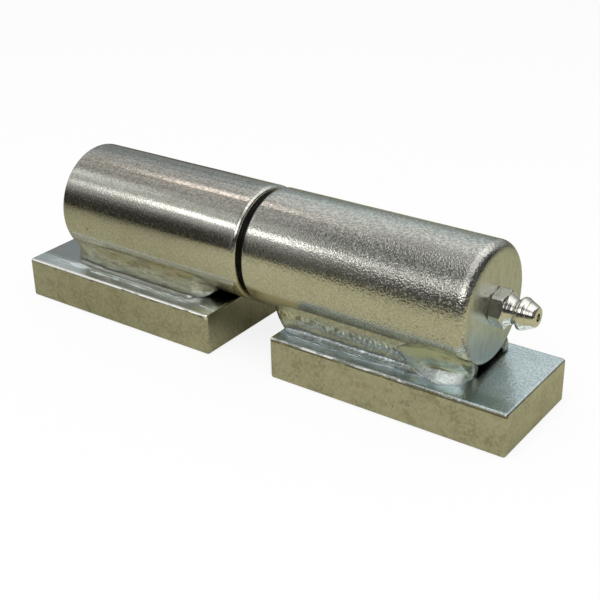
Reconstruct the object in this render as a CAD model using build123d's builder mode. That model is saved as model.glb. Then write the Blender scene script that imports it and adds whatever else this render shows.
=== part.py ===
from build123d import *
import math
import os

os.makedirs("parts", exist_ok=True)

# Weld-on barrel hinge: two round bar barrels on one axis, each welded along a flat bar plate.
# A pin fixed in one barrel turns in the other, which is greased through a nipple in its end.
# X runs along the hinge axis towards the nipple, Z is up, and the plates stand on Z = 0.
# The origin is the middle of the hinge's outline, on the plates' undersides. All sizes are in mm.

# Barrels, cut from one-inch round bar
barrel_diameter = 25.4
pin_side_barrel_length = 50.0
bore_side_barrel_length = 51.8
pin_side_end_round = 0.8  # edge round of the closed end
bore_side_end_round = 2.2  # edge round of the nipple end
pin_side_rim_chamfer = 0.5  # chamfers on the rims that face each other
bore_side_rim_chamfer = 0.4

# Plates, cut from one-inch by three-eighths flat bar
plate_length = 53.975
plate_width = 25.4
plate_thickness = 9.525
plate_edge_round = 0.6
plate_front = 15.1  # from the hinge axis forward to the plates' front edge
pin_side_overhang = 10.2  # plate beyond the barrel's outer end
bore_side_overhang = 10.9
root_gap = 0.1  # barrel above plate, as tacked for welding

# Hinge pin
pin_diameter = 12.7
pin_seat_depth = 24.0  # length held in the pin side barrel
pin_end_chamfer = 1.0
press_interference = 0.01  # radial, pin in its seat
bore_clearance = 0.05  # radial, pin in the bore side barrel
bore_mouth_chamfer = 0.8
bore_end_wall = 9.8  # bar left beyond the bore's flat end
grease_chamber = 3.0  # free length beyond the pin's end
drill_point_angle = 118.0

# Thrust washer between the barrels
washer_thickness = 1.65
washer_play = 0.05  # free play on each face
washer_recess = 1.8  # rim below the barrels' surface
washer_bore_clearance = 0.2  # radial, round the pin

# Grease nipple with an M6 shank, screwed into the bore side barrel
thread_diameter = 6.0
thread_length = 5.5
thread_clearance = 0.02  # radial, shank in its hole
thread_run_out = 1.0  # hole beyond the shank's end
passage_diameter = 3.0  # from the threaded hole to the grease chamber
hex_across_flats = 7.0
hex_height = 2.9
hex_face_diameter = 6.8  # round left on both ends where the corners are chamfered
hex_chamfer_angle = 30.0
hex_turn = 4.0  # degrees, where the thread came tight
collar_diameter = 6.4  # foot of the slope between hexagon and neck
collar_length = 1.2
neck_diameter = 5.0
neck_length = 0.6
head_diameter = 6.5
head_flare = 0.8  # axial length of the slope under the head
head_land = 0.7  # length of the head's cylindrical band
head_cone = 2.6  # from the band to the tip
tip_diameter = 4.0
tip_round = 0.4
nipple_mouth_diameter = 1.6
nipple_bore_diameter = 2.6
seat_depth = 1.3  # ball seat's wide end below the tip
lip_diameter = 1.7  # rolled lip that keeps the spring in
lip_length = 0.6

# Check ball and its spring
ball_diameter = 2.0
ball_clearance = 0.03  # ball from its conical seat, measured square to the cone
spring_wire = 0.3
spring_clearance = 0.12  # coil inside the nipple's bore
spring_turns = 8
spring_end_gap = 0.05  # from the coil's ends to the lip and the ball

# Weld beads
bead_root_share = 0.55  # root's distance from the hinge axis, as a share of the toe's
bead_overlap = 0.3  # how far the raw bead runs into the bars before they are cut from it
pin_side_bead_overrun = 0.6  # past the barrel's outer end
pin_side_bead_setback = 5.2  # front bead stops short of its plate's inner end
bore_side_bead_overhang = 3.5  # front bead starts on the barrel before its plate's inner end
bore_side_front_bead_stop = 0.9  # short of the barrel's outer end
bore_side_rear_bead_stop = 0.5

# Places worked out from the sizes
barrel_radius = barrel_diameter / 2
pin_radius = pin_diameter / 2
barrel_gap = washer_thickness + 2 * washer_play
nipple_reach = hex_height + collar_length + neck_length + head_flare + head_land + head_cone
plate_rear = plate_width - plate_front
pin_side_reach = barrel_gap / 2 + pin_side_barrel_length + pin_side_overhang
bore_side_reach = barrel_gap / 2 + bore_side_barrel_length + max(bore_side_overhang, nipple_reach)
rear_reach = max(barrel_radius, plate_rear)

gap_x = (pin_side_reach - bore_side_reach) / 2
axis_y = (plate_front - rear_reach) / 2
axis_z = plate_thickness + root_gap + barrel_radius
pin_side_mouth_x = gap_x - barrel_gap / 2
bore_side_mouth_x = gap_x + barrel_gap / 2
pin_side_end_x = pin_side_mouth_x - pin_side_barrel_length
bore_side_end_x = bore_side_mouth_x + bore_side_barrel_length
plate_centre_y = axis_y + (plate_rear - plate_front) / 2
hinge_axis = Axis((gap_x, axis_y, axis_z), (1, 0, 0))

bore_depth = bore_side_barrel_length - bore_end_wall
pin_reach = bore_depth - grease_chamber  # pin inside the bore side barrel
pin_start_x = pin_side_mouth_x - pin_seat_depth
pin_end_x = bore_side_mouth_x + pin_reach


def facing_right(x):
    """Plane square to the hinge axis at x, facing +X, with its own X along the hinge's width."""
    return Plane(origin=(x, axis_y, axis_z), x_dir=(0, 1, 0), z_dir=(1, 0, 0))


def lengthwise(x):
    """Plane through the hinge axis, with its own X along the axis from x and its own Y upwards."""
    return Plane(origin=(x, axis_y, axis_z), x_dir=(1, 0, 0), z_dir=(0, -1, 0))


def drill_point_length(radius):
    """Length of the conical bottom that a drill of this radius leaves."""
    return radius / math.tan(math.radians(drill_point_angle / 2))


# Pin side barrel: a plain bar with a blind seat for the pin in its inner face
pin_seat_radius = pin_radius - press_interference

with BuildPart() as pin_side_barrel:
    with BuildSketch(facing_right(pin_side_end_x)):
        Circle(barrel_radius)
    extrude(amount=pin_side_barrel_length)
    outer_rim = pin_side_barrel.faces().sort_by(Axis.X)[0].outer_wire().edges()
    inner_rim = pin_side_barrel.faces().sort_by(Axis.X)[-1].outer_wire().edges()
    fillet(outer_rim, pin_side_end_round)
    chamfer(inner_rim, pin_side_rim_chamfer)
    with Locations(facing_right(pin_side_mouth_x)):
        Hole(pin_seat_radius, pin_seat_depth)
    with BuildSketch(lengthwise(pin_start_x)):
        with BuildLine():
            Polyline(
                (0, 0),
                (-drill_point_length(pin_seat_radius), 0),
                (0, pin_seat_radius),
                close=True,
            )
        make_face()
    revolve(axis=hinge_axis, mode=Mode.SUBTRACT)

pin_side_barrel.part.label = "pin_side_barrel"
export_step(pin_side_barrel.part, "parts/pin_side_barrel.step")


# Bore side barrel: reamed bore for the pin, grease chamber, passage and tapped hole for the nipple
bore_radius = pin_radius + bore_clearance
thread_hole_radius = thread_diameter / 2
thread_hole_depth = thread_length + thread_run_out

with BuildPart() as bore_side_barrel:
    with BuildSketch(facing_right(bore_side_mouth_x)):
        Circle(barrel_radius)
    extrude(amount=bore_side_barrel_length)
    inner_rim = bore_side_barrel.faces().sort_by(Axis.X)[0].outer_wire().edges()
    outer_rim = bore_side_barrel.faces().sort_by(Axis.X)[-1].outer_wire().edges()
    chamfer(inner_rim, bore_side_rim_chamfer)
    fillet(outer_rim, bore_side_end_round)
    with BuildSketch(lengthwise(bore_side_mouth_x)):
        with BuildLine():
            Polyline(
                (0, 0),
                (0, bore_radius + bore_mouth_chamfer),
                (bore_mouth_chamfer, bore_radius),
                (bore_depth, bore_radius),
                (bore_depth + drill_point_length(bore_radius), 0),
                close=True,
            )
        make_face()
    revolve(axis=hinge_axis, mode=Mode.SUBTRACT)
    with Locations(facing_right(bore_side_end_x)):
        Hole(thread_hole_radius, thread_hole_depth)
        Hole(passage_diameter / 2, bore_end_wall)

bore_side_barrel.part.label = "bore_side_barrel"
export_step(bore_side_barrel.part, "parts/bore_side_barrel.step")


# Plates: flat bar with slightly broken edges, set off-centre under the barrels
def flat_bar_plate(centre_x):
    """One plate, with the middle of its underside at centre_x."""
    with BuildPart() as plate:
        with BuildSketch(Plane((centre_x, plate_centre_y, 0))):
            Rectangle(plate_length, plate_width)
        extrude(amount=plate_thickness)
        fillet(plate.edges(), plate_edge_round)
    return plate


pin_side_plate_x = pin_side_end_x - pin_side_overhang + plate_length / 2
bore_side_plate_x = bore_side_end_x + bore_side_overhang - plate_length / 2

pin_side_plate = flat_bar_plate(pin_side_plate_x)
pin_side_plate.part.label = "pin_side_plate"
export_step(pin_side_plate.part, "parts/pin_side_plate.step")

bore_side_plate = flat_bar_plate(bore_side_plate_x)
bore_side_plate.part.label = "bore_side_plate"
export_step(bore_side_plate.part, "parts/bore_side_plate.step")


# Hinge pin: pressed in the pin side barrel, chamfered to lead into the bore
with BuildPart() as hinge_pin:
    with BuildSketch(facing_right(pin_start_x)):
        Circle(pin_radius)
    extrude(amount=pin_end_x - pin_start_x)
    chamfer(hinge_pin.edges().filter_by(GeomType.CIRCLE), pin_end_chamfer)

hinge_pin.part.label = "hinge_pin"
export_step(hinge_pin.part, "parts/hinge_pin.step")


# Thrust washer: carries the load between the barrels, set back below their surface
with BuildPart() as thrust_washer:
    with BuildSketch(facing_right(gap_x - washer_thickness / 2)):
        Circle(barrel_radius - washer_recess)
        Circle(pin_radius + washer_bore_clearance, mode=Mode.SUBTRACT)
    extrude(amount=washer_thickness)

thrust_washer.part.label = "thrust_washer"
export_step(thrust_washer.part, "parts/thrust_washer.step")


# Weld beads. A bead is lofted through stations along the seam, each given by four shares:
# - how far along the bead it lies
# - its toe's distance from the hinge axis, of the way to the plate's edge
# - the height of its upper toe on the barrel, of the barrel's radius
# - how far its face swells out, of the barrel's radius
rise = root_gap + barrel_radius  # barrel's centre above the plate
inner_radius = barrel_radius - bead_overlap


def half_width(height):
    """Half the barrel's width at a height above the plate."""
    return math.sqrt(barrel_radius**2 - (rise - height) ** 2)


def weld_bead(x_start, x_end, side, edge, stations, barrel, plate):
    """Bead between barrel and plate, on the front (side -1) or the rear (side 1)."""
    with BuildPart() as bead:
        for along, toe_share, climb_share, swell_share in stations:
            station_x = x_start + along * (x_end - x_start)
            station = Plane(
                origin=(station_x, axis_y, plate_thickness),
                x_dir=(0, side, 0),
                z_dir=(side, 0, 0),
            )
            toe = toe_share * edge
            climb = climb_share * barrel_radius
            swell = swell_share * barrel_radius
            root = toe * bead_root_share
            root_top = rise - math.sqrt(barrel_radius**2 - root**2) + bead_overlap
            barrel_toe = (
                half_width(climb) * inner_radius / barrel_radius,
                rise - (rise - climb) * inner_radius / barrel_radius,
            )
            face_length = math.dist((toe, 0), barrel_toe)
            face_middle = (
                (toe + barrel_toe[0]) / 2 + swell * barrel_toe[1] / face_length,
                barrel_toe[1] / 2 + swell * (toe - barrel_toe[0]) / face_length,
            )
            with BuildSketch(station):
                with BuildLine():
                    Polyline(barrel_toe, (root, root_top), (root, -bead_overlap), (toe, -bead_overlap))
                    ThreePointArc((toe, -bead_overlap), face_middle, barrel_toe)
                make_face()
        loft()
        add(barrel.part, mode=Mode.SUBTRACT)
        add(plate.part, mode=Mode.SUBTRACT)
    return bead


# One pass that climbs high on the barrel and thins out to a ragged stop
pin_side_front_stations = [
    (0.00, 0.58, 0.24, 0.020),
    (0.06, 0.69, 0.43, 0.012),
    (0.25, 0.74, 0.55, 0.008),
    (0.55, 0.76, 0.60, 0.008),
    (0.80, 0.76, 0.60, 0.010),
    (0.91, 0.73, 0.55, 0.020),
    (1.00, 0.45, 0.30, 0.030),
]

# A flat pass with a second, fuller one laid over its outer end
bore_side_front_stations = [
    (0.00, 0.48, 0.26, 0.030),
    (0.08, 0.64, 0.38, 0.020),
    (0.15, 0.70, 0.43, 0.020),
    (0.36, 0.71, 0.43, 0.030),
    (0.59, 0.70, 0.43, 0.030),
    (0.69, 0.69, 0.43, 0.045),
    (0.80, 0.74, 0.46, 0.070),
    (0.89, 0.82, 0.54, 0.085),
    (0.95, 0.78, 0.50, 0.085),
    (1.00, 0.60, 0.38, 0.050),
]

# Narrow passes on the rear, held in by the plates' rear edges
rear_stations = [
    (0.00, 0.80, 0.20, 0.016),
    (0.06, 0.88, 0.26, 0.024),
    (0.50, 0.90, 0.28, 0.016),
    (0.90, 0.88, 0.28, 0.030),
    (1.00, 0.78, 0.20, 0.040),
]

pin_side_bead_start = pin_side_end_x - pin_side_bead_overrun
pin_side_plate_end = pin_side_plate_x + plate_length / 2
bore_side_plate_start = bore_side_plate_x - plate_length / 2

pin_side_weld_front = weld_bead(
    pin_side_bead_start,
    pin_side_plate_end - pin_side_bead_setback,
    -1,
    plate_front,
    pin_side_front_stations,
    pin_side_barrel,
    pin_side_plate,
)
pin_side_weld_front.part.label = "pin_side_weld_front"
export_step(pin_side_weld_front.part, "parts/pin_side_weld_front.step")

pin_side_weld_rear = weld_bead(
    pin_side_plate_end - plate_edge_round,
    pin_side_bead_start,
    1,
    plate_rear,
    rear_stations,
    pin_side_barrel,
    pin_side_plate,
)
pin_side_weld_rear.part.label = "pin_side_weld_rear"
export_step(pin_side_weld_rear.part, "parts/pin_side_weld_rear.step")

bore_side_weld_front = weld_bead(
    bore_side_plate_start - bore_side_bead_overhang,
    bore_side_end_x - bore_side_front_bead_stop,
    -1,
    plate_front,
    bore_side_front_stations,
    bore_side_barrel,
    bore_side_plate,
)
bore_side_weld_front.part.label = "bore_side_weld_front"
export_step(bore_side_weld_front.part, "parts/bore_side_weld_front.step")

bore_side_weld_rear = weld_bead(
    bore_side_plate_start + plate_edge_round,
    bore_side_end_x - bore_side_rear_bead_stop,
    1,
    plate_rear,
    rear_stations,
    bore_side_barrel,
    bore_side_plate,
)
bore_side_weld_rear.part.label = "bore_side_weld_rear"
export_step(bore_side_weld_rear.part, "parts/bore_side_weld_rear.step")


# Grease nipple: turned from hexagon bar, with a drilled way through, a ball seat behind its mouth
# and a lip rolled in at the foot of the shank
hex_top = hex_height
collar_top = hex_top + collar_length
neck_top = collar_top + neck_length
flare_top = neck_top + head_flare
land_top = flare_top + head_land
tip = land_top + head_cone
seat_wide = tip - seat_depth
mouth_radius = nipple_mouth_diameter / 2
nipple_bore_radius = nipple_bore_diameter / 2
seat_length = nipple_bore_radius - mouth_radius  # a seat cone of 45 degrees
hex_corner_radius = hex_across_flats / 2 / math.cos(math.radians(30))
hex_face_radius = hex_face_diameter / 2
hex_chamfer = (hex_corner_radius - hex_face_radius) * math.tan(math.radians(hex_chamfer_angle))

with BuildPart() as nipple_body:
    with BuildSketch(facing_right(bore_side_end_x)):
        RegularPolygon(hex_across_flats / 2, 6, major_radius=False, rotation=hex_turn)
    extrude(amount=hex_height)
    # Both ends of the hexagon are turned to a cone, which cuts its corners in arcs
    with BuildSketch(lengthwise(bore_side_end_x)):
        with BuildLine():
            Polyline(
                (0, 0),
                (0, hex_face_radius),
                (hex_chamfer, hex_corner_radius),
                (hex_top - hex_chamfer, hex_corner_radius),
                (hex_top, hex_face_radius),
                (hex_top, 0),
                close=True,
            )
        make_face()
    revolve(axis=hinge_axis, mode=Mode.INTERSECT)
    # Shank, neck and head
    with BuildSketch(lengthwise(bore_side_end_x)) as turned_profile:
        with BuildLine():
            Polyline(
                (-thread_length, 0),
                (-thread_length, thread_hole_radius - thread_clearance),
                (0, thread_hole_radius - thread_clearance),
                (hex_top, collar_diameter / 2),
                (collar_top, neck_diameter / 2),
                (neck_top, neck_diameter / 2),
                (flare_top, head_diameter / 2),
                (land_top, head_diameter / 2),
                (tip, tip_diameter / 2),
                (tip, 0),
                close=True,
            )
        make_face()
        tip_corner = turned_profile.vertices().group_by(Axis.X)[-1].sort_by(Axis.Y)[-1]
        fillet(tip_corner, tip_round)
    revolve(axis=hinge_axis)
    # The way through: lip, spring chamber, ball seat and mouth
    with BuildSketch(lengthwise(bore_side_end_x)):
        with BuildLine():
            Polyline(
                (-thread_length, 0),
                (-thread_length, lip_diameter / 2),
                (-thread_length + lip_length, lip_diameter / 2),
                (-thread_length + lip_length, nipple_bore_radius),
                (seat_wide - seat_length, nipple_bore_radius),
                (seat_wide, mouth_radius),
                (tip, mouth_radius),
                (tip, 0),
                close=True,
            )
        make_face()
    revolve(axis=hinge_axis, mode=Mode.SUBTRACT)

nipple_body.part.label = "nipple_body"
export_step(nipple_body.part, "parts/nipple_body.step")


# Check ball: it bears on the 45 degree seat, where the cone's line is tangent to the ball
ball_radius = ball_diameter / 2
cone_tip = seat_wide + mouth_radius  # where the seat's cone would close on the axis
ball_centre = cone_tip - (ball_radius + ball_clearance) * math.sqrt(2)

with BuildPart(Plane((bore_side_end_x + ball_centre, axis_y, axis_z))) as nipple_check_ball:
    Sphere(ball_radius)

nipple_check_ball.part.label = "nipple_check_ball"
export_step(nipple_check_ball.part, "parts/nipple_check_ball.step")


# Spring: from the rolled lip to the ball, which sits partly in its last turn
coil_radius = nipple_bore_radius - spring_clearance - spring_wire / 2
spring_start = -thread_length + lip_length + spring_end_gap + spring_wire / 2
ball_contact_back = math.sqrt((ball_radius + spring_end_gap + spring_wire / 2) ** 2 - coil_radius**2)
spring_end = ball_centre - ball_contact_back
spring_pitch = (spring_end - spring_start) / spring_turns

with BuildPart() as nipple_spring:
    with BuildLine() as coil:
        Helix(
            spring_pitch,
            spring_end - spring_start,
            coil_radius,
            center=(bore_side_end_x + spring_start, axis_y, axis_z),
            direction=(1, 0, 0),
        )
    with BuildSketch(Plane(coil.line @ 0, z_dir=coil.line % 0)):
        Circle(spring_wire / 2)
    sweep(is_frenet=True)

nipple_spring.part.label = "nipple_spring"
export_step(nipple_spring.part, "parts/nipple_spring.step")
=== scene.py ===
# %% [markdown]
# # A welded barrel hinge, zinc plated
#
# The object is a heavy hinge for a gate: two round bars in line, each welded along a flat plate,
# with a pin inside and a grease nipple in one end. The sizes come from the CAD model, which this
# notebook loads as a fixed frame. What is left to do here is what a CAD model does not carry:
# the bright, slightly pitted zinc, the rippled weld beads, and the studio that the metal mirrors.

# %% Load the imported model
import math

import bmesh
import bpy
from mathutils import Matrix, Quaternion, Vector, noise


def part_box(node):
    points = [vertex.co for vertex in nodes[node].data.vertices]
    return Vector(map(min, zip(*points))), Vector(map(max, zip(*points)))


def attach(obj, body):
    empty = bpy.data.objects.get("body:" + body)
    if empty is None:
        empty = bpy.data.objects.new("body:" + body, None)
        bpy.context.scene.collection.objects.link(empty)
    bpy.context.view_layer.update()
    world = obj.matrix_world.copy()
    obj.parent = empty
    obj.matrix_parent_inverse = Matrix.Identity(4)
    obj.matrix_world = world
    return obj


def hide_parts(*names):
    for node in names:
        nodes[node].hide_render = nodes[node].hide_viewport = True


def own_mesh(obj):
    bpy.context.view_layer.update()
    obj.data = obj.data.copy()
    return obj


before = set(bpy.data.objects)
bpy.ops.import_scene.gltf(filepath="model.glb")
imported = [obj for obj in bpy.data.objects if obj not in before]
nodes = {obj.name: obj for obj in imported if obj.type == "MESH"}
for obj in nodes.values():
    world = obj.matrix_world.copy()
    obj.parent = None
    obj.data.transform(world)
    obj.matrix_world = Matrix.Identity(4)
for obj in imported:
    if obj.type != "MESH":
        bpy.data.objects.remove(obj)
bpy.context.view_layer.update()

mm = 0.001
print("nodes:", ", ".join(sorted(nodes)))

# %% [markdown]
# ## The camera
#
# The photograph was taken from in front and to the right, looking down on the hinge from about
# 27 degrees. The lens and the distance matter as much as the angle: they say how much smaller the
# far barrel looks. Here they follow from the edges of the plates, whose sizes are known.

# %% Camera at the photograph's place
azimuth, elevation, roll = 36.11, 26.59, -1.17  # degrees
distance = 254.57 * mm
aim = Vector((5.34, 1.2, 10.865)) * mm

a, e = math.radians(azimuth), math.radians(elevation)
towards_camera = Vector((math.sin(a) * math.cos(e), -math.cos(a) * math.cos(e), math.sin(e)))
camera = bpy.data.objects.new("Camera", bpy.data.cameras.new("Camera"))
bpy.context.scene.collection.objects.link(camera)
camera.data.sensor_width = 36.0
camera.data.lens = 71.05
camera.data.clip_start, camera.data.clip_end = 10 * mm, 30.0
camera.rotation_mode = "QUATERNION"
upright = (-towards_camera).to_track_quat("-Z", "Y")
camera.rotation_quaternion = Quaternion(towards_camera, math.radians(roll)) @ upright
camera.location = aim + towards_camera * distance
bpy.context.scene.camera = camera
bpy.context.scene.view_settings.view_transform = "Standard"
print("camera at", [round(v / mm, 1) for v in camera.location], "mm")

# %% [markdown]
# ## Writing node trees as sums
#
# A finish is a pattern, and a pattern is arithmetic on places: take a noise, scale it, keep only
# what lies near an edge. Wiring that by hand hides the idea, so a small class wraps one socket and
# lets Python's own signs add the Math nodes. One method makes every other node: first its
# settings, then the values or links of its inputs. Blender's geometry trees take the same sums,
# so the weld beads further down use these two classes as well.

# %% Field and Recipe
class Field:
    """One output of a node tree. Sums on it add Math nodes."""

    def __init__(self, recipe, socket):
        self.recipe, self.socket = recipe, socket

    def math(self, operation, *values):
        return self.recipe.add("ShaderNodeMath", {"operation": operation}, dict(enumerate(values)))

    def __add__(self, other):
        return self.math("ADD", self, other)

    def __sub__(self, other):
        return self.math("SUBTRACT", self, other)

    def __rsub__(self, other):
        return self.math("SUBTRACT", other, self)

    def __mul__(self, other):
        return self.math("MULTIPLY", self, other)

    def __truediv__(self, other):
        return self.math("DIVIDE", self, other)

    def __rtruediv__(self, other):
        return self.math("DIVIDE", other, self)

    def __abs__(self):
        return self.math("ABSOLUTE", self)

    __radd__ = __add__
    __rmul__ = __mul__


class Recipe:
    """A node tree that is filled step by step."""

    def __init__(self, tree):
        self.tree = tree
        tree.nodes.clear()

    def add(self, kind, settings=None, inputs=None, output=0):
        """Makes a node: its settings first, then its inputs. Gives back one of its outputs."""
        made = self.tree.nodes.new(kind)
        for name, value in (settings or {}).items():
            if name == "stops":
                self.set_stops(made.color_ramp, value)
            else:
                setattr(made, name, value)
        for name, value in (inputs or {}).items():
            if isinstance(value, Field):
                self.tree.links.new(value.socket, made.inputs[name])
            else:
                made.inputs[name].default_value = value
        return Field(self, made.outputs[output]) if len(made.outputs) else None

    @staticmethod
    def set_stops(ramp, stops):
        """Gives a colour ramp these stops, as pairs of a position and a colour."""
        while len(ramp.elements) < len(stops):
            ramp.elements.new(1.0)
        for element, (position, colour) in zip(ramp.elements, stops):
            element.position = position
            element.color = (*colour, 1.0)


print("Field and Recipe fill shader trees and geometry trees alike")

# %% [markdown]
# The patterns need a few words of their own: where a point is, in millimetres; a soft random
# value in patches of some size; a smooth step up, a step down and a band; and one colour turning
# into another. All of them read the piece's own coordinates, so a pattern stays on its piece.

# %% Words for places
def scaled(vector, factor):
    """A vector or a colour with each part of it times the factor."""
    inputs = {0: vector, "Scale": factor}
    return vector.recipe.add("ShaderNodeVectorMath", {"operation": "SCALE"}, inputs)


def place_in_mm(recipe):
    """The piece's own coordinates in millimetres."""
    return scaled(recipe.add("ShaderNodeTexCoord", output="Object"), 1 / mm)


def parts_of(place):
    """The x, y and z of a place."""
    return [place.recipe.add("ShaderNodeSeparateXYZ", {}, {0: place}, axis) for axis in "XYZ"]


def patches(place, size, detail=2.0, stretch=(1, 1, 1)):
    """Soft random values round 0.5, in patches of this size in mm, longer where stretched."""
    share = [1 / (size * s) for s in stretch]
    inputs = {0: place, 1: share}
    sized = place.recipe.add("ShaderNodeVectorMath", {"operation": "MULTIPLY"}, inputs)
    inputs = {"Vector": sized, "Scale": 1.0, "Detail": detail}
    return place.recipe.add("ShaderNodeTexNoise", {}, inputs)


print("words for places: scaled, place_in_mm, parts_of, patches")

# %% Words for shares
def rise(value, low, high, start=0.0, end=1.0):
    """Goes smoothly from start, where the value is low, to end, where it is high."""
    inputs = {"Value": value, "From Min": low, "From Max": high, "To Min": start, "To Max": end}
    return value.recipe.add("ShaderNodeMapRange", {"interpolation_type": "SMOOTHSTEP"}, inputs)


def fall(value, low, high):
    """Goes smoothly from 1, where the value is low, to 0, where it is high."""
    return rise(value, low, high, 1, 0)


def band(value, middle, full, gone):
    """1 up to this distance from the middle, 0 from that one on."""
    return fall(abs(value - middle), full, gone)


def turn(share, first, second):
    """One colour where the share is 0, another where it is 1."""
    colours = [(*c, 1.0) if isinstance(c, tuple) else c for c in (first, second)]
    inputs = {0: share, 6: colours[0], 7: colours[1]}
    return share.recipe.add("ShaderNodeMix", {"data_type": "RGBA"}, inputs, 2)


def new_material(name):
    """An empty material and the recipe that fills its tree."""
    material = bpy.data.materials.new(name)
    material.use_nodes = True
    return material, Recipe(material.node_tree)


def finish_metal(recipe, colour, roughness, height, chalk=0.0):
    """Ends a recipe as metal, dull and whitish where there is chalk. The height is in mm."""
    bump = recipe.add("ShaderNodeBump", {}, {"Strength": 1.0, "Distance": mm, "Height": height})
    inputs = {"Base Color": colour, "Metallic": 1 - chalk, "Roughness": roughness, "Normal": bump}
    metal = recipe.add("ShaderNodeBsdfPrincipled", {}, inputs)
    recipe.add("ShaderNodeOutputMaterial", {}, {"Surface": metal})


print("words for shares and finishes: rise, fall, band, turn, new_material, finish_metal")

# %% [markdown]
# ## The studio
#
# Bright metal has no colour of its own to speak of: it shows what stands round it. So the studio
# is half of the finish. The white floor keeps a faint shadow. What the zinc mirrors are two things
# that only reflections see: a khaki workbench under the hinge, which darkens away from it, and a
# long vault over it with one bright strip, as a lamp tube gives. The near barrel mirrors another
# stretch of the vault than the far one, so the light there also changes along its length.

# %% Sheets, and which rays see them
def sheet_mesh(name, rows):
    """A sheet through rows of points, all rows of one length."""
    width = len(rows[0])
    corners = [r * width + c for r in range(len(rows) - 1) for c in range(width - 1)]
    faces = [(i, i + 1, i + 1 + width, i + width) for i in corners]
    mesh = bpy.data.meshes.new(name)
    mesh.from_pydata([point for row in rows for point in row], [], faces)
    piece = bpy.data.objects.new(name, mesh)
    bpy.context.scene.collection.objects.link(piece)
    return piece


def only_in_reflections(piece):
    """Keeps a studio card out of the picture and off the floor: only gloss shows it."""
    piece.visible_camera = piece.visible_diffuse = piece.visible_shadow = False
    piece.visible_transmission = False


def seen_or_mirrored(recipe):
    """1 for what the camera sees straight, in a reflection or through glass, else 0."""
    rays = [
        recipe.add("ShaderNodeLightPath", output=name)
        for name in ("Is Camera Ray", "Is Glossy Ray", "Is Transmission Ray")
    ]
    return rays[0].math("MAXIMUM", rays[0].math("MAXIMUM", rays[0], rays[1]), rays[2])


print("words for the studio: sheet_mesh, only_in_reflections, seen_or_mirrored")

# %% White floor
floor_reach = 9.0  # metres each way, so that no view shows its edge
background_share = 0.84
ends = (-floor_reach, floor_reach)
floor = sheet_mesh("floor", [[(x, y, 0) for x in ends] for y in ends])
white, recipe = new_material("white floor")
lit = recipe.add("ShaderNodeBsdfDiffuse", {}, {"Color": (0.96, 0.96, 0.96, 1)})
glow = recipe.add("ShaderNodeEmission", {}, {"Strength": 1.0})
share = seen_or_mirrored(recipe) * background_share
shown = recipe.add("ShaderNodeMixShader", {}, {0: share, 1: lit, 2: glow})
recipe.add("ShaderNodeOutputMaterial", {}, {"Surface": shown})
floor.data.materials.append(white)
print("floor", 2 * floor_reach, "m wide")

# %% White background and a soft lamp
plain_light = 0.7  # the background's strength where it lights the hinge
world = bpy.data.worlds.new("studio")
bpy.context.scene.world = world
world.use_nodes = True
recipe = Recipe(world.node_tree)
strength = rise(seen_or_mirrored(recipe), 0, 1, plain_light, 1.0)
sky = recipe.add("ShaderNodeBackground", {}, {"Strength": strength})
recipe.add("ShaderNodeOutputWorld", {}, {"Surface": sky})

lamp = bpy.data.objects.new("softbox", bpy.data.lights.new("softbox", "AREA"))
bpy.context.scene.collection.objects.link(lamp)
lamp.data.size = 0.6
lamp.data.energy = 4.6
lamp.location = (0.12, -0.3, 0.85)
lamp.rotation_mode = "QUATERNION"
lamp.rotation_quaternion = (-lamp.location).to_track_quat("-Z", "Y")
lamp.visible_glossy = False
print("background", plain_light, "and lamp", round(lamp.data.energy, 1), "W")

# %% [markdown]
# The workbench could be a plain khaki card, but then the low half of both bars would be one even
# tone. It darkens away from the hinge instead, and sooner where the far barrel mirrors it.

# %% Workbench that the metal mirrors
bench_height = 0.05 * mm
bench_ends, bench_sides = (-2.4, 2.4), (-1.2, 1.2)
bench = sheet_mesh(
    "workbench", [[(x, y, bench_height) for x in bench_ends] for y in bench_sides]
)
khaki, recipe = new_material("khaki workbench")
place = place_in_mm(recipe)
x, y, _ = parts_of(place)

# 0 under the far barrel's mirror image, 1 under the near one's
near_side = rise(x + 0.73 * abs(y), -30, 15)
half_light_at = 135 + 165 * near_side
share = y / half_light_at
brightness = (0.46 + 0.09 * near_side) / (1 + share * share)
mottled = turn(patches(place, 30), (0.96, 0.92, 0.56), (1.0, 0.96, 0.67))
colour = scaled(mottled, brightness)
lit = recipe.add("ShaderNodeBsdfDiffuse", {}, {"Color": colour})
recipe.add("ShaderNodeOutputMaterial", {}, {"Surface": lit})
bench.data.materials.append(khaki)
only_in_reflections(bench)
print("workbench", bench_ends[1] - bench_ends[0], "m long")

# %% [markdown]
# A round bar mirrors half a circle of the room, squeezed into narrow bands of light and dark along
# it. So the vault is lit by degrees: a colour ramp runs over it from the horizon in front of the
# hinge, over the top, to the horizon behind, one ramp for each barrel.

# %% Shape of the vault
vault_reach, vault_radius = 2.4, 1.2
vault_steps = 48


def vault_point(along, around):
    """A point of the vault, from two angles that go from 0 to a half turn."""
    width = vault_radius * math.sin(along)
    return (-vault_reach * math.cos(along), -width * math.cos(around), width * math.sin(around))


angles = [math.pi * i / vault_steps for i in range(vault_steps + 1)]
vault = sheet_mesh("vault", [[vault_point(i, j) for j in angles] for i in angles])
print("vault", 2 * vault_reach, "m long,", vault_radius, "m high")

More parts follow.
